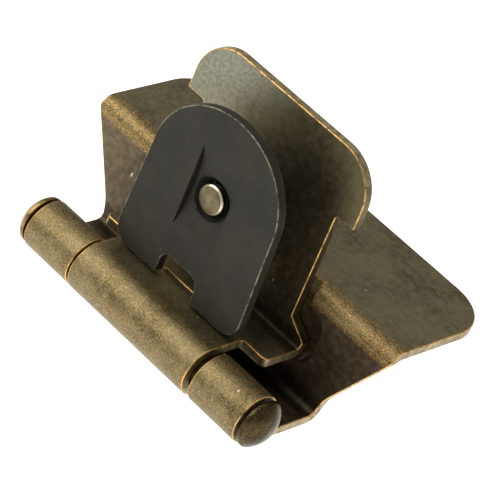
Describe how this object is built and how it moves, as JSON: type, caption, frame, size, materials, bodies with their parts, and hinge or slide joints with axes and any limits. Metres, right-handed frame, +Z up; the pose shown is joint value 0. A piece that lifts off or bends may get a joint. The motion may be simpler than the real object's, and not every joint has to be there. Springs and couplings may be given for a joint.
{
  "type": "demountable hinge",
  "caption": "Cabinet hinge of folded plated steel: a frame leaf with a wide seat plate, and a leaf that swings on a domed pin and clamps the door's lip with a screwed grip plate.",
  "frame": {"origin": "middle of the frame plate's underside, the face that seats on the cabinet", "axes": "+X along the pin, +Y from the pin towards the frame plate's far edge, +Z up, away from the seat; closed position"},
  "size_m": [0.0572, 0.0365, 0.0363],
  "materials": {
    "antique_brass_plate": "folded steel sheet, antique brass plated, mottled olive brown with worn golden edges",
    "pin_plate": "turned steel rod, antique brass plated, burnished on its domed heads",
    "black_spring_steel": "hardened spring steel, oil blackened, matte, with bare worn edges",
    "screw_steel": "machine screw steel, brass flashed, with a bright chamfer"
  },
  "bodies": {
    "frame": {"frame_leaf": "antique_brass_plate", "hinge_pin": "pin_plate"},
    "door": {"door_leaf": "antique_brass_plate"},
    "grip": {"grip_plate": "black_spring_steel"},
    "screw": {"clamp_screw": "screw_steel"}
  },
  "joints": [
    {"name": "hinge_swing", "type": "hinge", "parent": "frame", "child": "door", "pos_m": [0, -0.02303, -0.01185], "axis": [1, 0, 0], "range_deg": [0, 180]},
    {"name": "clamp_turn", "type": "hinge", "parent": "door", "child": "screw", "pos_m": [-0.0004, -0.01103, 0.00665], "axis": [0, -1, 0], "range_deg": [0, 2881]},
    {"name": "grip_slide", "type": "slide", "parent": "door", "child": "grip", "axis": [0, 1, 0], "range_m": [0, 0.00635]}
  ],
  "couplings": [
    {"joint": "clamp_turn", "follows": "grip_slide", "rad_per_m": 7915.8}
  ]
}
